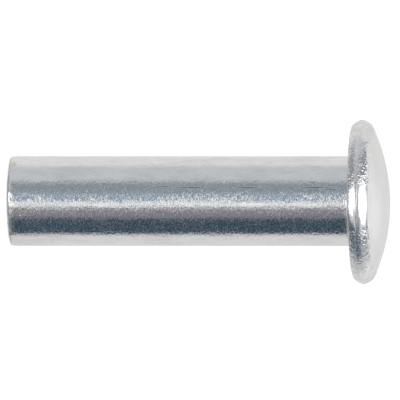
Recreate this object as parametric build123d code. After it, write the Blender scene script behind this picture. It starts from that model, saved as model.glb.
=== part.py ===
from build123d import *
import os

# A solid rivet, cold headed in one piece from round aluminium wire. It stands on the cut end of
# its shank, with the head up. The origin is the centre of that end face, and Z is the rivet's axis.
# All sizes are in millimetres. Rises are measured along the axis, and insets towards it.

# Shank
shank_diameter = 6.35
shank_length = 24.3  # from the end face to the underside of the head
end_edge_radius = 0.34  # the cut end's tumbled edge
under_head_fillet = 0.2  # root radius left by the heading die

# Head
head_diameter = 11.6  # at the rim's widest circle, before its rounding
bearing_edge_inset = 0.41  # how far the flat underside stops short of the widest circle
rim_under_rise = 0.57  # from the underside to the widest circle
rim_under_bulge = 0.04  # how far the lower half of the rim bows out from a straight bevel
shoulder_inset = 0.76  # how far the struck crown stops short of the widest circle
shoulder_rise = 0.91  # from the widest circle to the crown's edge
shoulder_bulge = 0.2  # how far the rim's shoulder bows out, where the metal spread past the punch
crown_rise = 1.04  # from the crown's edge to its top
bearing_edge_radius = 0.15
rim_edge_radius = 0.25  # the rounding of the widest circle

# Sizes that follow from those
shank_radius = shank_diameter / 2
head_radius = head_diameter / 2
bearing_radius = head_radius - bearing_edge_inset
crown_edge_radius = head_radius - shoulder_inset
bearing_height = shank_length
widest_height = bearing_height + rim_under_rise
crown_edge_height = widest_height + shoulder_rise
crown_top_height = crown_edge_height + crown_rise

# Corners of the half section, as (radius, height)
end_centre = (0, 0)
end_edge = (shank_radius, 0)
shank_root = (shank_radius, bearing_height)
bearing_edge = (bearing_radius, bearing_height)
rim_edge = (head_radius, widest_height)
crown_edge = (crown_edge_radius, crown_edge_height)
crown_top = (0, crown_top_height)
crown_mirror = (-crown_edge_radius, crown_edge_height)


def shank_section():
    """The shank's side of the half section, from the end's centre out to the edge of the underside."""
    return [
        Line(end_centre, end_edge),
        Line(end_edge, shank_root),
        Line(shank_root, bearing_edge),
    ]


def rim_section():
    """The rim, which bulged freely between the die and the punch: a bevel below, a shoulder above."""
    return [
        SagittaArc(bearing_edge, rim_edge, -rim_under_bulge),
        SagittaArc(rim_edge, crown_edge, -shoulder_bulge),
    ]


def crown_section():
    """Half of the shallow round crown that the punch struck, and the axis back to the end face."""
    whole_crown = ThreePointArc(crown_edge, crown_top, crown_mirror)
    return [
        whole_crown.trim(0, 0.5),
        Line(crown_top, end_centre),
    ]


def corner(face, point):
    """The vertex of the half section that stands at a given corner."""
    return face.vertices().sort_by_distance(Vector(*point))[0]


def rounded(face, point, radius):
    """The half section with one of its corners rounded off."""
    return fillet(corner(face, point), radius)


def half_section():
    """The half section of the rivet, with its four rounded corners."""
    section = make_face(Wire(shank_section() + rim_section() + crown_section()))
    section = rounded(section, end_edge, end_edge_radius)
    section = rounded(section, shank_root, under_head_fillet)
    section = rounded(section, bearing_edge, bearing_edge_radius)
    section = rounded(section, rim_edge, rim_edge_radius)
    return Plane.XZ * section


def rivet():
    """The whole rivet, its half section turned about the axis."""
    return revolve(half_section(), Axis.Z)


body = rivet()
os.makedirs("parts", exist_ok=True)
export_step(body, "parts/rivet.step")
print("overall height", round(crown_top_height, 3), "volume", round(body.volume, 2))
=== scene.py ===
"""Dresses a solid aluminium rivet: one turned piece of metal in a plain white studio.

The rivet stands on the cut end of its shank. The camera lies on its side, so that the picture shows
the rivet lengthways, with the head to the right.
"""

import logging
import math
from dataclasses import dataclass, field
from enum import Enum
from functools import cached_property
from typing import Callable

import bmesh
import bpy
from mathutils import Euler, Matrix, Vector


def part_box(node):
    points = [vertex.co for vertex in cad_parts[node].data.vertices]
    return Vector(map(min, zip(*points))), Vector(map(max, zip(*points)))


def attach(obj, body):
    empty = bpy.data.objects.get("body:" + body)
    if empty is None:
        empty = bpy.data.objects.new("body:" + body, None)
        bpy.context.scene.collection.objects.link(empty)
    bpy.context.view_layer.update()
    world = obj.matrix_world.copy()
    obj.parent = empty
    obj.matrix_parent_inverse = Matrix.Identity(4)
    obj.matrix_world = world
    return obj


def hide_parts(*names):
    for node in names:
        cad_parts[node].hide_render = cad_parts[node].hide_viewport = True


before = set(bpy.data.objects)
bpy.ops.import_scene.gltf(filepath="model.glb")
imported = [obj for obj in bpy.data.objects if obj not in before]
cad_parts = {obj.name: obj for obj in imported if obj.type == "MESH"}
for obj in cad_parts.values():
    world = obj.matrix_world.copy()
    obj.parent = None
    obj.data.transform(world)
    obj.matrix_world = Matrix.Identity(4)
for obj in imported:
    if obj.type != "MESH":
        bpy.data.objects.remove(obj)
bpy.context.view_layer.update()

MM = 0.001
SQUARE = 90.0  # degrees
MIX_SHARE, MIX_UNDER, MIX_OVER = 0, 6, 7  # the Mix node's inputs for colours
MIX_COLOUR = 2  # and its output
PATCH_EDGE = (0.35, 0.65)  # where a patch of noise starts and where it is whole
NOISE_MIDDLE = 0.5
WORN_SHARE = 0.1  # how much of a relief is left where a finish is worn
Colour = tuple[float, float, float, float]
Socket = bpy.types.NodeSocket
Value = Socket | float | Colour | Vector

log = logging.getLogger("rivet")


def linear(red: float, green: float, blue: float) -> Colour:
    """A linear colour with full alpha."""
    return (red, green, blue, 1.0)


class Surface(Enum):
    """The rivet's surfaces, in the order of its material slots."""

    SHANK = 0
    CUT_END = 1
    PRESSED = 2
    RIM = 3
    BEARING_EDGE = 4


class Graph:
    """Adds and links the nodes of one shader tree."""

    def __init__(self, tree: bpy.types.NodeTree) -> None:
        """Starts from an empty tree.

        Args:
            tree: the node tree of a material or a world.
        """
        self.tree = tree
        tree.nodes.clear()

    def add(
        self, kind: str, feeds: dict[str | int, Value] | None = None, **settings: object
    ) -> bpy.types.Node:
        """Adds one node.

        Args:
            kind: the node's type name.
            feeds: what goes into each input, by its name or number.
            **settings: the node's own properties.

        Returns:
            The new node.
        """
        node = self.tree.nodes.new(kind)
        for name, value in settings.items():
            setattr(node, name, value)
        for key, value in (feeds or {}).items():
            self.feed(node.inputs[key], value)
        return node

    def feed(self, socket: Socket, value: Value) -> None:
        """Links a socket into an input, or sets the input's value.

        Args:
            socket: the input.
            value: what goes into it.
        """
        if isinstance(value, bpy.types.NodeSocket):
            self.tree.links.new(value, socket)
        else:
            socket.default_value = value

    def math(self, operation: str, first: Value, second: Value = 0.0, clamp: bool = False) -> Socket:
        """One step of arithmetic."""
        node = self.add("ShaderNodeMath", {0: first, 1: second}, operation=operation, use_clamp=clamp)
        return node.outputs[0]

    def blend(self, share: Value, under: Value, over: Value) -> Socket:
        """The colour that goes from under to over as share goes from 0 to 1."""
        feeds = {MIX_SHARE: share, MIX_UNDER: under, MIX_OVER: over}
        return self.add("ShaderNodeMix", feeds, data_type="RGBA").outputs[MIX_COLOUR]

    def ramp(
        self, value: Value, low: float, high: float, to_low: float = 0.0, to_high: float = 1.0
    ) -> Socket:
        """A smooth step from to_low to to_high, as value goes from low to high."""
        feeds = {"Value": value, "From Min": low, "From Max": high, "To Min": to_low, "To Max": to_high}
        return self.add("ShaderNodeMapRange", feeds, interpolation_type="SMOOTHSTEP").outputs["Result"]

    def window(self, value: Value, low: float, high: float, soft: float) -> Socket:
        """One between low and high and zero outside.

        Args:
            value: what is measured.
            low: the middle of the lower edge.
            high: the middle of the upper edge.
            soft: how wide each edge fades.

        Returns:
            The socket that gives the window.
        """
        rise = self.ramp(value, low - soft / 2, low + soft / 2)
        fall = self.ramp(value, high - soft / 2, high + soft / 2)
        return self.math("SUBTRACT", rise, fall, clamp=True)


@dataclass(frozen=True)
class Relief:
    """A fine relief of grains or lines, which bump draws, or with no depth a pattern of patches."""

    size: float  # across one grain
    depth: float = 0.0
    stretch: tuple[float, float, float] = (1.0, 1.0, 1.0)  # how much longer a grain is along X, Y and Z
    detail: float = 1.0
    harsh: float = 0.5  # how much of the finer grains shows

    def pattern(self, graph: Graph, place: Socket) -> Socket:
        """The relief's pattern, from 0 to 1, with its middle at a half.

        Args:
            graph: the material's tree.
            place: the Object coordinates.

        Returns:
            The socket that gives the height.
        """
        scale = Vector([1.0 / (self.size * times) for times in self.stretch])
        mapped = graph.add("ShaderNodeMapping", {"Vector": place, "Scale": scale}).outputs[0]
        feeds = {"Vector": mapped, "Scale": 1.0, "Detail": self.detail, "Roughness": self.harsh}
        return graph.add("ShaderNodeTexNoise", feeds).outputs[0]

    def patch(self, graph: Graph, place: Socket) -> Socket:
        """The pattern as patches, from 0 outside them to 1 inside."""
        return graph.ramp(self.pattern(graph, place), *PATCH_EDGE)

    def bump(self, graph: Graph, place: Socket, under: Socket | None, kept: Socket | None) -> Socket:
        """Adds the relief on top of another.

        Args:
            graph: the material's tree.
            place: the Object coordinates.
            under: the normal that it starts from, or None for the mesh's own.
            kept: how much of the relief is left, or None where none of it is worn away.

        Returns:
            The socket that gives the new normal.
        """
        height = self.pattern(graph, place)
        if kept is not None:
            height = graph.math("MULTIPLY", graph.math("SUBTRACT", height, NOISE_MIDDLE), kept)
        return bumped(graph, height, self.depth, under)


@dataclass(frozen=True)
class Mark:
    """One small nick, scratch or stain at its own place on the metal; a dark grey tone on it is painted
    shade.
    """

    height: float  # up the rivet's axis
    turn: float  # degrees round the axis, from the camera's side towards +X
    reach: float  # how far from the axis
    length: float  # along the axis, before it leans
    width: float
    lean: float = 0.0
    depth: float = 0.0
    # a colour painted over the mark: a stain's own colour, and painted shade on the shank's dark grey marks
    # and draw lines
    tone: Colour | None = None
    core: float = 0.35  # how much of its half size it fills before it fades

    @property
    def middle(self) -> Vector:
        """Where the mark's middle is."""
        turn = math.radians(self.turn)
        return Vector((self.reach * math.sin(turn), -self.reach * math.cos(turn), self.height))

    @property
    def turned(self) -> Vector:
        """How the mark is turned, as angles about X, Y and Z."""
        return Vector((0, math.radians(self.lean), math.radians(self.turn)))

    @property
    def half(self) -> Vector:
        """Half of its width, of the depth that it reaches and of its length."""
        return Vector((self.width / 2, max(self.length, self.width), self.length / 2))

    def covers(self, point: Vector) -> float:
        """How much of the mark a point of the mesh takes.

        Args:
            point: the point.

        Returns:
            The share, from 0 to 1, which fades as the mask does.
        """
        inside = Matrix.LocRotScale(self.middle, Euler(self.turned), self.half).inverted() @ point
        share = min(1.0, max(0.0, (1.0 - inside.length) / (1.0 - self.core)))
        return share * share * (3 - 2 * share)

    def mask(self, graph: Graph, place: Socket) -> Socket:
        """One at the mark's middle and zero past its edge.

        Args:
            graph: the material's tree.
            place: the Object coordinates.

        Returns:
            The socket that gives the mask.
        """
        feeds = {"Vector": place, "Location": self.middle, "Rotation": self.turned, "Scale": self.half}
        inside = graph.add("ShaderNodeMapping", feeds, vector_type="TEXTURE").outputs[0]
        far = graph.add("ShaderNodeVectorMath", {0: inside}, operation="LENGTH").outputs["Value"]
        return graph.ramp(far, self.core, 1.0, 1.0, 0.0)


def bumped(graph: Graph, height: Socket, depth: float, under: Socket | None) -> Socket:
    """Adds a bump node.

    Args:
        graph: the material's tree.
        height: the relief's height, from 0 to 1.
        depth: how high 1 stands, or how deep it lies if it is negative.
        under: the normal that it starts from, or None for the mesh's own.

    Returns:
        The socket that gives the new normal.
    """
    feeds = {"Height": height, "Distance": depth, "Strength": 1.0}
    if under is not None:
        feeds["Normal"] = under
    return graph.add("ShaderNodeBump", feeds).outputs[0]


@dataclass(frozen=True)
class AluminiumFinish:
    """Bare aluminium: its two tones, its two roughnesses, the reliefs of its making and its marks."""

    name: str
    bright: Colour
    dull: Colour
    smooth: float
    rough: float
    patches: Relief  # where the metal is dull and rough
    reliefs: tuple[Relief, ...]
    marks: tuple[Mark, ...] = ()
    worn: Mark | None = None  # where the reliefs are rubbed flat
    sheen: Relief | None = None  # where the metal is rough, if not where it is dull
    patchy: float = 0.0  # how much of the reliefs is missing where the metal is bright

    def material(self) -> bpy.types.Material:
        """Builds the procedural material.

        Returns:
            The material.
        """
        made = bpy.data.materials.new(self.name)
        made.use_nodes = True
        graph = Graph(made.node_tree)
        place = graph.add("ShaderNodeTexCoord").outputs["Object"]
        patch = self.patches.patch(graph, place)
        colour = graph.blend(patch, self.bright, self.dull)
        kept = None
        if self.worn is not None:
            kept = graph.ramp(self.worn.mask(graph, place), 0.0, 1.0, 1.0, WORN_SHARE)
        elif self.patchy:
            kept = graph.ramp(patch, 0.0, 1.0, 1.0 - self.patchy, 1.0)
        coarse = patch if self.sheen is None else self.sheen.patch(graph, place)
        normal = None
        for relief in self.reliefs:
            normal = relief.bump(graph, place, normal, kept)
        for mark in self.marks:
            mask = mark.mask(graph, place)
            if mark.depth:
                normal = bumped(graph, mask, -mark.depth, normal)
            # A mark's tone is painted over the metal's colour: a stain's own colour, and painted shade on
            # the shank's dark grey marks and draw lines.
            if mark.tone is not None:
                colour = graph.blend(mask, colour, mark.tone)
        shader = graph.add(
            "ShaderNodeBsdfPrincipled",
            {
                "Base Color": colour,
                "Metallic": 1.0,
                "Roughness": graph.ramp(coarse, 0.0, 1.0, self.smooth, self.rough),
                "Normal": normal,
            },
        )
        graph.add("ShaderNodeOutputMaterial", {"Surface": shader.outputs[0]})
        return made


SHANK_RADIUS = 3.175 * MM
# The dark grey tones of the spot at 10.2 mm, the scratch at 15.45 mm and the streak at 21.7 mm are painted
# shade, standing in for what so small a mark reflects; the scratch also has a real dent.
SHANK_MARKS = (
    Mark(height=1.02 * MM, turn=17, reach=SHANK_RADIUS, length=0.2 * MM, width=0.19 * MM, depth=0.06 * MM),
    Mark(height=10.2 * MM, turn=-56, reach=SHANK_RADIUS, length=0.13 * MM, width=0.13 * MM,
         tone=linear(0.3, 0.29, 0.28)),
    Mark(height=15.45 * MM, turn=-26, reach=SHANK_RADIUS, length=0.34 * MM, width=0.08 * MM, lean=-50,
         depth=0.02 * MM, tone=linear(0.36, 0.36, 0.36)),
    Mark(height=21.7 * MM, turn=-26, reach=SHANK_RADIUS, length=0.5 * MM, width=0.16 * MM,
         tone=linear(0.5, 0.51, 0.52)),
    Mark(height=0.4 * MM, turn=-56, reach=SHANK_RADIUS, length=0.5 * MM, width=0.85 * MM,
         tone=linear(0.72, 0.66, 0.6)),
)
# Draw lines: shallow real grooves, painted a dark bluish grey that is painted shade, standing in for what
# so fine a groove reflects.
DRAW_LINES_WITH_PAINTED_SHADE = tuple(
    Mark(height=height * MM, turn=turn, reach=SHANK_RADIUS, length=length * MM, width=0.13 * MM,
         depth=0.015 * MM, tone=linear(0.24, 0.275, 0.32))
    for height, turn, length in (
        (11.1, -20.5, 2.2), (13.05, -18.6, 3.6), (17.05, -18.4, 2.9), (21.9, -18.8, 3.9), (22.9, -16.6, 2.0)
    )
)
SHANK_FINISH = AluminiumFinish(
    name="drawn_and_tumbled",
    bright=linear(0.87, 0.88, 0.89),
    dull=linear(0.76, 0.765, 0.77),
    smooth=0.07,
    rough=0.25,
    patches=Relief(size=1.1 * MM, stretch=(1, 1, 3), detail=5.0, harsh=0.8),
    sheen=Relief(size=0.12 * MM, detail=2.0, harsh=0.6),
    reliefs=(
        Relief(size=0.13 * MM, depth=0.004 * MM, stretch=(1, 1, 35)),
        Relief(size=0.1 * MM, depth=0.021 * MM, stretch=(2.4, 2.4, 1)),
        Relief(size=0.17 * MM, depth=0.009 * MM, stretch=(1.8, 1.8, 1)),
        Relief(size=0.1 * MM, depth=0.003 * MM),
    ),
    patchy=0.5,
    marks=SHANK_MARKS + DRAW_LINES_WITH_PAINTED_SHADE,
)
# The cut end is darker than the shank: painted shade that keeps the low lamp's reflection dim on it; its
# roughness and reliefs are the sheared finish.
CUT_END_FINISH = AluminiumFinish(
    name="sheared_and_shaded_end",
    bright=linear(0.7, 0.705, 0.71),
    dull=linear(0.55, 0.555, 0.56),
    smooth=0.35,
    rough=0.5,
    patches=Relief(size=0.6 * MM, detail=3.0),
    reliefs=(
        Relief(size=0.14 * MM, depth=0.014 * MM, stretch=(8, 1, 1)),
        Relief(size=0.13 * MM, depth=0.016 * MM, detail=2.0),
    ),
)
PRESSED_FINISH = AluminiumFinish(
    name="pressed_face",
    bright=linear(0.87, 0.875, 0.88),
    dull=linear(0.83, 0.835, 0.84),
    smooth=0.24,
    rough=0.3,
    patches=Relief(size=1.4 * MM, detail=2.0),
    reliefs=(
        Relief(size=0.9 * MM, depth=0.003 * MM),
        Relief(size=0.16 * MM, depth=0.0013 * MM, detail=2.0),
    ),
)
RIM_WORN = Mark(height=24.9 * MM, turn=4, reach=5.6 * MM, length=6 * MM, width=3.6 * MM, core=0.8)
RIM_FINISH = AluminiumFinish(
    name="bulged_rim",
    bright=linear(0.9, 0.905, 0.91),
    dull=linear(0.8, 0.805, 0.815),
    smooth=0.08,
    rough=0.2,
    patches=Relief(size=0.7 * MM, detail=3.0),
    reliefs=(
        Relief(size=0.17 * MM, depth=0.05 * MM),
        Relief(size=0.1 * MM, depth=0.016 * MM),
    ),
    worn=RIM_WORN,
)
BEARING_EDGE_FINISH = AluminiumFinish(
    name="burnished_edge",
    bright=linear(0.93, 0.935, 0.94),
    dull=linear(0.88, 0.885, 0.89),
    smooth=0.4,
    rough=0.5,
    patches=Relief(size=0.4 * MM, detail=2.0),
    reliefs=(Relief(size=0.14 * MM, depth=0.008 * MM),),
)
FINISHES = {
    Surface.SHANK: SHANK_FINISH,
    Surface.CUT_END: CUT_END_FINISH,
    Surface.PRESSED: PRESSED_FINISH,
    Surface.RIM: RIM_FINISH,
    Surface.BEARING_EDGE: BEARING_EDGE_FINISH,
}


@dataclass
class Outline:
    """A half section drawn in edit mode, one extruded vertex after another."""

    name: str
    start: Vector
    pen: Vector = field(init=False)  # where the last vertex is

    def begin(self) -> bpy.types.Object:
        """Adds a plane and merges it into the outline's first vertex.

        Returns:
            The outline's object, in edit mode.
        """
        bpy.ops.object.select_all(action="DESELECT")
        bpy.ops.mesh.primitive_plane_add(size=MM)
        made = bpy.context.active_object
        made.name = self.name
        made.data.name = self.name
        bpy.ops.object.mode_set(mode="EDIT")
        bpy.ops.mesh.select_all(action="SELECT")
        bpy.ops.mesh.merge(type="CENTER")
        bpy.ops.transform.translate(value=self.start)
        self.pen = self.start.copy()
        return made

    def to(self, point: Vector) -> None:
        """Extrudes the last vertex to a point."""
        bpy.ops.mesh.extrude_region_move(TRANSFORM_OT_translate={"value": point - self.pen})
        self.pen = point.copy()

    def line(self, end: Vector, step: float) -> None:
        """Draws a straight run of even steps.

        Args:
            end: where the run ends.
            step: about how long one step is.
        """
        start = self.pen.copy()
        count = max(1, round((end - start).length / step))
        for k in range(1, count + 1):
            self.to(start.lerp(end, k / count))

    def bow(self, end: Vector, bulge: float, step: float) -> None:
        """Draws an arc whose middle stands bulge to the right of the straight way, as it is walked.

        Args:
            end: where the arc ends.
            bulge: the arc's height over its chord.
            step: the length of one edge.
        """
        start = self.pen.copy()
        chord = end - start
        radius = (chord.length / 2) ** 2 / (2 * bulge) + bulge / 2
        outward = Vector((chord.z, 0, -chord.x)).normalized()
        centre = (start + end) / 2 + outward * (bulge - radius)
        half = math.asin(chord.length / 2 / radius)
        along = chord.normalized()
        count = max(2, round(2 * half * radius / step))
        for k in range(1, count + 1):
            turn = half * (2 * k / count - 1)
            self.to(centre + radius * (outward * math.cos(turn) + along * math.sin(turn)))


@dataclass(frozen=True)
class Wrinkle:
    """A relief that is large enough to be modelled: clouds of dents, pressed into the mesh."""

    name: str
    size: float  # across one dent
    depth: float
    stretch: tuple[float, float, float] = (1.0, 1.0, 1.0)  # how much longer a dent is along its own axes
    lean: tuple[float, float, float] = (0.0, 0.0, 0.0)  # how those axes are turned, in degrees
    level: float = 1.0  # where the surface lies between the dents' bottoms, at 0, and their brims, at 1

    def press(self, made: bpy.types.Object, share: Callable[[Vector], float]) -> None:
        """Presses the dents into part of a mesh.

        Args:
            made: the object, in object mode.
            share: how much of the depth a point takes, from 0 to 1.
        """
        weigh(made, self.name, share)
        bpy.ops.object.select_all(action="DESELECT")
        bpy.ops.object.empty_add(rotation=[math.radians(turn) for turn in self.lean])
        ruler = bpy.context.active_object
        ruler.scale = [self.size * times for times in self.stretch]
        clouds = bpy.data.textures.new(self.name, "CLOUDS")
        clouds.noise_scale = 1.0
        clouds.noise_depth = 1
        dents = made.modifiers.new(self.name, "DISPLACE")
        dents.texture = clouds
        dents.texture_coords = "OBJECT"
        dents.texture_coords_object = ruler
        dents.vertex_group = self.name
        dents.mid_level = self.level
        dents.strength = self.depth
        bpy.context.view_layer.objects.active = made
        bpy.context.view_layer.update()
        bpy.ops.object.modifier_apply(modifier=dents.name)
        made.vertex_groups.remove(made.vertex_groups[self.name])
        bpy.data.objects.remove(ruler)
        bpy.data.textures.remove(clouds)


@dataclass
class RivetMetal:
    """The whole rivet as one turned mesh, with the waves, dents and wrinkles that the solid leaves out."""

    name: str
    box: tuple[Vector, Vector]
    shank_radius: float = SHANK_RADIUS
    shank_length: float = 24.27 * MM
    end_edge_radius: float = 0.27 * MM
    under_head_fillet: float = 0.2 * MM
    bearing_edge_inset: float = 0.38 * MM
    rim_under_rise: float = 0.6 * MM
    rim_under_bulge: float = 0.04 * MM
    shoulder_inset: float = 0.76 * MM
    shoulder_rise: float = 0.91 * MM
    shoulder_bulge: float = 0.2 * MM
    bearing_edge_radius: float = 0.15 * MM
    bearing_edge_turn: float = 41.0  # degrees
    rim_edge_radius: float = 0.25 * MM
    rim_edge_turn: float = 26.0  # degrees
    shank_offset: float = -0.07 * MM  # the head was struck this far off the wire's centre
    head_tilt: float = 0.6  # degrees that the head was struck off square
    head_sink: float = 0.001 * MM  # keeps the tilted crown below its height
    smoothed_share: float = 0.8  # how much of its spread a smoothed corner loses
    smoothed_spreads: float = 3.0  # how far from a corner the outline is smoothed, in spreads
    smoothed_steps: float = 1.5  # and in fine steps, if that is further
    fine_step: float = 0.06 * MM
    fine_steps: int = 10  # how many of them lead up to a corner
    crown_step: float = 0.16 * MM
    face_step: float = 0.25 * MM
    shank_step: float = 0.19 * MM
    segments: int = 384
    merge_distance: float = 0.0001 * MM
    smooth_angle: float = 50.0  # degrees, up to which an edge is shaded smooth
    drawn_waves: Wrinkle = Wrinkle("drawn_waves", 1.6 * MM, 0.012 * MM, stretch=(1, 1, 4))
    tumbled_dents: Wrinkle = Wrinkle("tumbled_dents", 0.7 * MM, 0.008 * MM)
    rim_peel: Wrinkle = Wrinkle("rim_peel", 0.26 * MM, 0.018 * MM, level=0.5)
    shoulder_tears: Wrinkle = Wrinkle(
        "shoulder_tears", 0.19 * MM, 0.05 * MM, stretch=(1, 1, 3), lean=(0, 50, 0), level=0.5
    )
    end_nicks: Wrinkle = Wrinkle("end_nicks", 0.26 * MM, 0.035 * MM)
    sheared_depth: float = 0.1 * MM  # how far the end's edge was pushed in where the wire broke off
    sheared_turn: float = 24.0  # degrees from the camera's side to the middle of that stretch
    sheared_half: float = 24.0  # degrees from its middle to its end
    sheared_rise: float = 0.35 * MM
    wrinkle_fade: float = 0.25 * MM
    torn_width: float = 0.5 * MM  # how far below the crown's edge the shoulder is torn
    burnished: float = 0.07 * MM  # how wide the bearing edge is rubbed bright, each way
    broken_share: float = 0.6  # how much of the end's rounding belongs to the broken face

    @property
    def height(self) -> float:
        """The overall height, which the frame gives."""
        return self.box[1].z

    @property
    def head_radius(self) -> float:
        """The widest radius, which the frame gives, less what the rim's wrinkles stand out."""
        return self.box[1].x - self.rim_peel.depth / 2

    @cached_property
    def corners(self) -> dict[str, Vector]:
        """The corners of the half section, in the plane of X and Z.

        Returns:
            Each corner's place, by its name.
        """
        widest = self.shank_length + self.rim_under_rise
        return {
            "end_centre": Vector((0, 0, 0)),
            "end_edge": Vector((self.shank_radius, 0, 0)),
            "root": Vector((self.shank_radius, 0, self.shank_length)),
            "bearing_edge": Vector((self.head_radius - self.bearing_edge_inset, 0, self.shank_length)),
            "rim_edge": Vector((self.head_radius, 0, widest)),
            "crown_edge": Vector((self.head_radius - self.shoulder_inset, 0, widest + self.shoulder_rise)),
            "crown_top": Vector((0, 0, self.height)),
        }

    def draw(self) -> bpy.types.Object:
        """Draws the half section from the end's centre to the crown's top.

        Returns:
            The outline's object, in edit mode.
        """
        at = self.corners
        outline = Outline(self.name, at["end_centre"])
        made = outline.begin()
        fine_stretch = self.fine_steps * self.fine_step
        outline.line(at["end_edge"] - Vector((fine_stretch, 0, 0)), self.face_step)
        outline.line(at["end_edge"], self.fine_step)
        outline.line(at["end_edge"] + Vector((0, 0, fine_stretch)), self.fine_step)
        outline.line(at["root"] - Vector((0, 0, fine_stretch)), self.shank_step)
        outline.line(at["root"], self.fine_step)
        outline.line(at["root"] + Vector((fine_stretch, 0, 0)), self.fine_step)
        outline.line(at["bearing_edge"] - Vector((fine_stretch, 0, 0)), self.face_step)
        outline.line(at["bearing_edge"], self.fine_step)
        outline.bow(at["rim_edge"], self.rim_under_bulge, self.fine_step)
        outline.bow(at["crown_edge"], self.shoulder_bulge, self.fine_step)
        self.draw_crown(outline, at["crown_edge"], at["crown_top"])
        self.round_corner(made, at["end_edge"], self.end_edge_radius, SQUARE)
        self.round_corner(made, at["root"], self.under_head_fillet, SQUARE)
        self.round_corner(made, at["bearing_edge"], self.bearing_edge_radius, self.bearing_edge_turn)
        self.round_corner(made, at["rim_edge"], self.rim_edge_radius, self.rim_edge_turn)
        return made

    def draw_crown(self, outline: Outline, edge: Vector, top: Vector) -> None:
        """Draws half of the crown's arc, which is square to the axis at its top.

        Args:
            outline: the half section so far.
            edge: the crown's edge, where the pen is.
            top: the crown's top.
        """
        rise = top.z - edge.z
        radius = (edge.x**2 + rise**2) / (2 * rise)
        whole = math.asin(edge.x / radius)
        count = round(whole * radius / self.crown_step)
        for k in range(1, count + 1):
            turn = whole * (1 - k / count)
            outline.to(Vector((radius * math.sin(turn), 0, top.z - radius * (1 - math.cos(turn)))))

    def round_corner(self, made: bpy.types.Object, corner: Vector, radius: float, turn: float) -> None:
        """Rounds a corner by smoothing the fine steps round it, until it has lost what a round one lacks.

        Args:
            made: the outline's object, in edit mode.
            corner: where the corner is.
            radius: the radius that it should come out with.
            turn: how far the outline turns at the corner, in degrees.
        """
        half = math.radians(turn) / 2
        spread = radius * (1 / math.cos(half) - 1) / (self.smoothed_share * math.sin(half))
        reach = max(self.smoothed_spreads * spread, self.smoothed_steps * self.fine_step)
        repeats = max(1, round(2 * (spread / self.fine_step) ** 2))  # each adds half a step, squared
        select(made, lambda point: (point - corner).length < reach)
        bpy.ops.mesh.vertices_smooth(factor=0.5, repeat=repeats)

    def turn(self, made: bpy.types.Object) -> None:
        """Turns the half section about the axis and closes its seam and poles.

        Args:
            made: the outline's object, in edit mode.
        """
        bpy.ops.object.mode_set(mode="OBJECT")
        whole = made.modifiers.new("whole_turn", "SCREW")
        whole.angle = math.tau
        whole.steps = self.segments
        whole.render_steps = self.segments
        bpy.ops.object.modifier_apply(modifier=whole.name)
        bpy.ops.object.mode_set(mode="EDIT")
        bpy.ops.mesh.select_all(action="SELECT")
        bpy.ops.mesh.remove_doubles(threshold=self.merge_distance)
        bpy.ops.mesh.normals_make_consistent(inside=False)
        bpy.ops.object.mode_set(mode="OBJECT")

    def misalign(self, made: bpy.types.Object) -> None:
        """Moves the shank off the head's centre and leans the head, as the heading blow left them.

        Args:
            made: the turned rivet, in object mode.
        """
        bpy.context.view_layer.objects.active = made
        bpy.ops.object.mode_set(mode="EDIT")
        select(made, lambda point: point.z < self.shank_length - self.under_head_fillet)
        bpy.ops.transform.translate(value=(self.shank_offset, 0, 0))
        select(made, lambda point: point.z > self.shank_length - self.fine_step)
        bpy.ops.transform.rotate(
            value=math.radians(self.head_tilt), orient_axis="Y", center_override=(0, 0, self.shank_length)
        )
        bpy.ops.transform.translate(value=(0, 0, -self.head_sink))
        bpy.ops.object.mode_set(mode="OBJECT")

    def wrinkle(self, made: bpy.types.Object) -> None:
        """Presses the waves, dents and wrinkles into the mesh, each where the metal shows it.

        Args:
            made: the turned rivet, in object mode.
        """
        self.drawn_waves.press(made, self.on_shank)
        self.tumbled_dents.press(made, self.on_shank)
        self.rim_peel.press(made, self.on_rim)
        self.shoulder_tears.press(made, self.on_shoulder)
        self.end_nicks.press(made, self.on_end_edge)
        self.shear(made)

    def shear(self, made: bpy.types.Object) -> None:
        """Pushes in the stretch of the end's edge where the wire broke off.

        Args:
            made: the turned rivet, in object mode.
        """
        weigh(made, "sheared", self.on_sheared_edge)
        push = made.modifiers.new("sheared", "DISPLACE")
        push.direction = "Z"
        push.vertex_group = "sheared"
        push.mid_level = 0.0
        push.strength = self.sheared_depth
        bpy.context.view_layer.objects.active = made
        bpy.ops.object.modifier_apply(modifier=push.name)
        made.vertex_groups.remove(made.vertex_groups["sheared"])

    def on_sheared_edge(self, point: Vector) -> float:
        """How much of the sheared stretch a point takes.

        Args:
            point: a point of the mesh.

        Returns:
            One in the middle of the stretch, and less along the edge, up the shank and inwards.
        """
        away = abs(math.degrees(math.atan2(point.x, -point.y)) - self.sheared_turn) / self.sheared_half
        up = point.z / self.sheared_rise
        inwards = (self.shank_radius - math.hypot(point.x, point.y)) / self.sheared_rise
        if max(away, up, inwards) >= 1:
            return 0.0
        return math.sqrt(1 - away**2) * (1 - up) * (1 - inwards)

    def on_shank(self, point: Vector) -> float:
        """How much of the shank's waves and dents a point takes.

        Args:
            point: a point of the mesh.

        Returns:
            One along the shank, and less before its ends.
        """
        above = (point.z - self.end_edge_radius) / self.wrinkle_fade
        below = (self.shank_length - self.under_head_fillet - point.z) / self.wrinkle_fade
        return min(1.0, max(0.0, min(above, below)))

    def on_rim(self, point: Vector) -> float:
        """How much of the rim's wrinkles a point takes.

        Args:
            point: a point of the mesh.

        Returns:
            One round the rim, and less over the crown's edge, under the head and in the worn patch.
        """
        inner = self.corners["crown_edge"].x - self.wrinkle_fade
        share = min(1.0, max(0.0, (math.hypot(point.x, point.y) - inner) / self.wrinkle_fade))
        return share * (1.0 - (1.0 - WORN_SHARE) * RIM_WORN.covers(point))

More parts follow.
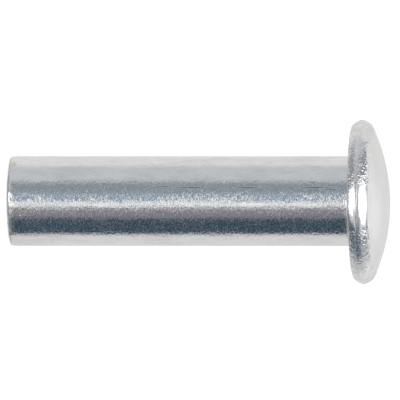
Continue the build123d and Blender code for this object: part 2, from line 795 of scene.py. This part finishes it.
    def on_shoulder(self, point: Vector) -> float:
        """How much of the shoulder's tears a point takes.

        Args:
            point: a point of the mesh.

        Returns:
            One at the top of the shoulder, and less down it and over the crown's edge.
        """
        edge = self.corners["crown_edge"]
        rise = (point.z - (edge.z - self.torn_width)) / self.wrinkle_fade
        return self.on_rim(point) * min(1.0, max(0.0, rise))

    def on_end_edge(self, point: Vector) -> float:
        """How much of the end's nicks a point takes.

        Args:
            point: a point of the mesh.

        Returns:
            One at the edge of the cut end, and less on both sides of it.
        """
        reach = math.hypot(point.x, point.y)
        away = math.hypot(self.shank_radius - reach, point.z) - self.end_edge_radius
        return min(1.0, max(0.0, 1.0 - away / self.wrinkle_fade))

    def surface_at(self, point: Vector) -> Surface:
        """The surface that a point belongs to.

        Args:
            point: a point of the mesh.

        Returns:
            The surface.
        """
        reach = math.hypot(point.x, point.y)
        if point.z < self.end_edge_radius * (self.broken_share + self.on_sheared_edge(point)):
            return Surface.CUT_END
        if point.z < self.shank_length - self.fine_step:
            return Surface.SHANK
        if point.z > self.shank_length + self.burnished:
            return Surface.RIM if reach > self.corners["crown_edge"].x else Surface.PRESSED
        rubbed = reach > self.corners["bearing_edge"].x - self.burnished
        return Surface.BEARING_EDGE if rubbed else Surface.PRESSED

    def dress(self, made: bpy.types.Object) -> None:
        """Gives each surface its finish.

        Args:
            made: the turned rivet, in object mode.
        """
        for surface in Surface:
            made.data.materials.append(FINISHES[surface].material())
        for polygon in made.data.polygons:
            polygon.material_index = self.surface_at(polygon.center).value

    def build(self) -> bpy.types.Object:
        """Models and dresses the rivet.

        Returns:
            The finished piece.
        """
        made = self.draw()
        self.turn(made)
        self.wrinkle(made)
        self.dress(made)
        self.misalign(made)
        bpy.ops.object.select_all(action="DESELECT")
        made.select_set(True)
        bpy.ops.object.shade_smooth_by_angle(angle=math.radians(self.smooth_angle))
        return made


def weigh(made: bpy.types.Object, name: str, share: Callable[[Vector], float]) -> None:
    """Adds a vertex group that holds how much of a change each point takes.

    Args:
        made: the object, in object mode.
        name: the group's name.
        share: how much a point takes, from 0 to 1.
    """
    group = made.vertex_groups.new(name=name)
    for vertex in made.data.vertices:
        weight = share(vertex.co)
        if weight > 0:
            group.add([vertex.index], weight, "REPLACE")


def select(made: bpy.types.Object, wanted: Callable[[Vector], bool]) -> None:
    """Selects the vertices that pass a test, and nothing else.

    Args:
        made: an object in edit mode.
        wanted: the test, on a vertex's place.
    """
    mesh = bmesh.from_edit_mesh(made.data)
    for vertex in mesh.verts:
        vertex.select_set(wanted(vertex.co))
    mesh.select_flush(True)
    bmesh.update_edit_mesh(made.data)


@dataclass(frozen=True)
class Card:
    """A card, wall or lamp round the rivet, given by the directions that it fills.

    Left and right are degrees round the rivet from the camera's side, and bottom and top are degrees
    above its level. A white of more than 1 is a lamp.
    """

    colour: Colour
    left: float = -240.0
    right: float = 240.0
    soft: float = 4.0  # how wide the left and right edges fade
    bottom: float = -120.0
    top: float = 120.0
    fade: float = 5.0  # how wide the bottom and top edges fade


def white(strength: float) -> Colour:
    """A plain white or grey."""
    return linear(strength, strength, strength)


@dataclass(frozen=True)
class Softbox:
    """An oval lamp in the ceiling.

    Its place and sizes are shares of the ceiling's height over the rivet.
    """

    colour: Colour
    front: float  # how far its middle stands in front of the rivet
    right: float  # how far it stands to the right
    half_width: float
    half_depth: float
    edge: float = 0.2  # how much of its half size fades out
    lowest: float = 0.001  # the least height of a direction that still meets the ceiling
    flat: float = 1e6  # takes the height out of a place on the ceiling

    def mask(self, graph: Graph, way: Socket, up: Socket) -> Socket:
        """One in the directions that the lamp fills.

        Args:
            graph: the world's tree.
            way: the direction.
            up: the direction's part along Z.

        Returns:
            The socket that gives the mask.
        """
        level = graph.math("MAXIMUM", up, self.lowest)
        ceiling = graph.add("ShaderNodeVectorMath", {0: way, 1: level}, operation="DIVIDE").outputs[0]
        feeds = {
            "Vector": ceiling,
            "Location": Vector((self.right, -self.front, 0)),
            "Scale": Vector((self.half_width, self.half_depth, self.flat)),
        }
        inside = graph.add("ShaderNodeMapping", feeds, vector_type="TEXTURE").outputs[0]
        far = graph.add("ShaderNodeVectorMath", {0: inside}, operation="LENGTH").outputs["Value"]
        oval = graph.ramp(far, 1.0 - self.edge, 1.0 + self.edge, 1.0, 0.0)
        return graph.math("MULTIPLY", oval, graph.math("GREATER_THAN", up, 0.0))


@dataclass
class Studio:
    """The world of cards and lamps, the pale floor and the camera."""

    wall: Colour = linear(0.78, 0.78, 0.76)
    cards: tuple[Card, ...] = (
        Card(white(0.95), bottom=36, top=70, fade=26),
        Card(linear(0.75, 0.745, 0.725), -172, -108, 24, bottom=-70, top=42, fade=12),
        Card(linear(0.58, 0.59, 0.61), -110, 2, 16),
        Card(linear(0.25, 0.24, 0.27), 24, 50, 24),
        Card(linear(0.5, 0.52, 0.54), 92, 138, 24, bottom=-70, top=2, fade=10),
        Card(linear(0.6, 0.62, 0.64), 90, 112, 16, bottom=2),
        Card(linear(0.165, 0.19, 0.235), 40, 98, 14, bottom=-50, top=56),
        Card(linear(0.3, 0.31, 0.33), -118, -28, 16, bottom=-82, top=-38, fade=12),
        Card(linear(0.1, 0.12, 0.155), 46, 112, 12, bottom=-82, top=-42, fade=10),
        Card(linear(0.23, 0.26, 0.32), -176, -122, 14, bottom=55, top=70),
        Card(linear(0.2, 0.21, 0.24), -130, -40, 14, bottom=44, top=73, fade=8),
        Card(linear(0.29, 0.3, 0.33), -70, -36, 10, bottom=20, top=50, fade=6),
        Card(linear(0.19, 0.2, 0.22), 50, 160, 16, bottom=48, top=71, fade=8),
        Card(linear(0.72, 0.72, 0.74), 32, 78, 16, bottom=33, top=54, fade=8),
        Card(white(0.46), 150, 240, 12, bottom=57, top=61.5, fade=3),
        Card(white(0.46), -240, -150, 12, bottom=57, top=61.5, fade=3),
        Card(white(0.2), top=-66, fade=10),
        Card(white(1.3), -240, -164, 8, bottom=66),
        Card(white(1.3), 164, 240, 8, bottom=66),
        Card(white(0.82), -240, -150, 30, bottom=-16, top=5),
        Card(linear(0.8, 0.785, 0.765), -165, -100, 22, bottom=-16, top=5),
        Card(linear(0.6, 0.615, 0.63), -98, -54, 18, bottom=-16, top=5),
        Card(linear(0.262, 0.3, 0.335), -50, -14, 15, bottom=-19, top=8),
        Card(linear(0.26, 0.33, 0.4), -22, 6, 16, bottom=-15, top=4),
        Card(linear(0.22, 0.22, 0.25), 17, 52, 12, bottom=-15, top=3),
        Card(linear(0.035, 0.065, 0.09), 45, 93, 8, bottom=-13, top=3),
        Card(linear(0.76, 0.745, 0.725), 97, 200, 17, bottom=-16, top=5),
        Card(linear(1.0, 0.985, 0.97), 3.5, 13, 7, bottom=-16, top=5),
        Card(linear(0.21, 0.245, 0.28), 38, 98, 12, bottom=-40, top=-15, fade=6),
        Card(white(0.6), 14, 42, 12, bottom=-60, top=-17, fade=6),
        Card(white(0.7), -38, 48, 16, bottom=-82, top=-60, fade=8),
        Card(white(1.5), -16, 12, 10, bottom=-40, top=-15),
        Card(white(1.28), -26, 14, 8, bottom=-56, top=-40),
        Card(white(1.28), -30, 32, 10, bottom=-70, top=-54),
        Card(white(1.28), -44, 42, 14, bottom=-82, top=-70, fade=3),
        Card(white(1.3), -17, 6, 8, bottom=3, top=15),
        Card(linear(0.5, 0.47, 0.5), 4, 34, 10, bottom=3, top=16, fade=4),
        Card(linear(0.38, 0.36, 0.4), -14, 30, 8, bottom=17, top=27, fade=4),
    )
    softbox: Softbox = Softbox(white(2.4), front=0.8, right=0.01, half_width=0.465, half_depth=0.9)
    view_elevation: float = 5.7  # degrees that the camera stands above level
    view_distance: float = 1.02
    frame_width: float = 28.19 * MM  # how much the picture takes in, at its middle
    aim: Vector = Vector((-0.141 * MM, 0, 13.405 * MM))  # what is in the picture's middle
    sensor: float = 36.0
    near: float = 0.1  # where the camera starts to see, as a share of its distance
    far: float = 3.0  # and where it stops
    floor_radius: float = 0.42
    floor_sides: int = 96
    floor_drop: float = 0.002 * MM  # keeps the floor off the rivet's end
    floor_colour: Colour = white(0.35)
    floor_lift: float = 0.76  # the light that it gives towards the camera alone

    def world(self) -> None:
        """Builds the world: white to the camera, and the cards and lamps to everything else."""
        made = bpy.data.worlds.new("studio")
        bpy.context.scene.world = made
        made.use_nodes = True
        graph = Graph(made.node_tree)
        way = graph.add("ShaderNodeTexCoord").outputs["Generated"]
        parts = graph.add("ShaderNodeSeparateXYZ", {0: way}).outputs
        front = graph.math("MULTIPLY", parts[1], -1.0)
        azimuth = graph.math("DEGREES", graph.math("ARCTAN2", parts[0], front))
        elevation = graph.math("DEGREES", graph.math("ARCSINE", parts[2]))
        shown: Value = self.wall
        for card in self.cards:
            across = graph.window(azimuth, card.left, card.right, card.soft)
            along = graph.window(elevation, card.bottom, card.top, card.fade)
            shown = graph.blend(graph.math("MULTIPLY", across, along), shown, card.colour)
        shown = graph.blend(self.softbox.mask(graph, way, parts[2]), shown, self.softbox.colour)
        rays = graph.add("ShaderNodeLightPath").outputs
        seen = graph.blend(rays["Is Camera Ray"], shown, white(1.0))
        background = graph.add("ShaderNodeBackground", {"Color": seen, "Strength": 1.0})
        graph.add("ShaderNodeOutputWorld", {"Surface": background.outputs[0]})

    def floor(self) -> None:
        """Adds the pale floor, which takes the rivet's shadow but stays out of its reflections."""
        bpy.ops.object.select_all(action="DESELECT")
        bpy.ops.mesh.primitive_circle_add(
            vertices=self.floor_sides,
            radius=self.floor_radius,
            fill_type="NGON",
            location=(0, 0, -self.floor_drop),
        )
        made = bpy.context.active_object
        made.name = "floor"
        material = bpy.data.materials.new("pale_floor")
        material.use_nodes = True
        graph = Graph(material.node_tree)
        diffuse = graph.add("ShaderNodeBsdfDiffuse", {"Color": self.floor_colour})
        rays = graph.add("ShaderNodeLightPath").outputs
        lift = graph.math("MULTIPLY", rays["Is Camera Ray"], self.floor_lift)
        glow = graph.add("ShaderNodeEmission", {"Color": white(1.0), "Strength": lift})
        both = graph.add("ShaderNodeAddShader", {0: diffuse.outputs[0], 1: glow.outputs[0]})
        graph.add("ShaderNodeOutputMaterial", {"Surface": both.outputs[0]})
        made.data.materials.append(material)
        made.visible_glossy = False
        made.visible_shadow = False

    def camera(self) -> None:
        """Adds the camera, turned so that the rivet's axis runs from left to right."""
        data = bpy.data.cameras.new("camera")
        data.sensor_width = self.sensor
        data.lens = self.sensor * self.view_distance / self.frame_width
        data.clip_start = self.near * self.view_distance
        data.clip_end = self.far * self.view_distance
        made = bpy.data.objects.new("camera", data)
        bpy.context.scene.collection.objects.link(made)
        tilt = math.radians(self.view_elevation)
        right = Vector((0, math.sin(tilt), math.cos(tilt)))
        top = Vector((-1, 0, 0))
        back = Vector((0, -math.cos(tilt), math.sin(tilt)))
        turn = Matrix((right, top, back)).transposed().to_4x4()
        made.matrix_world = Matrix.Translation(self.aim + back * self.view_distance) @ turn
        bpy.context.scene.camera = made

    def build(self) -> None:
        """Sets up the whole studio."""
        self.world()
        self.floor()
        self.camera()
        bpy.context.scene.view_settings.view_transform = "Standard"


def main() -> None:
    """Builds the rivet and its studio, and reports the piece."""
    logging.basicConfig(level=logging.INFO, format="%(name)s: %(message)s")
    metal = RivetMetal("rivet_metal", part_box("rivet")).build()
    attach(metal, "root")
    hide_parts("rivet")
    log.info("%s: %d faces", metal.name, len(metal.data.polygons))
    Studio().build()


if __name__ == "__main__":
    main()
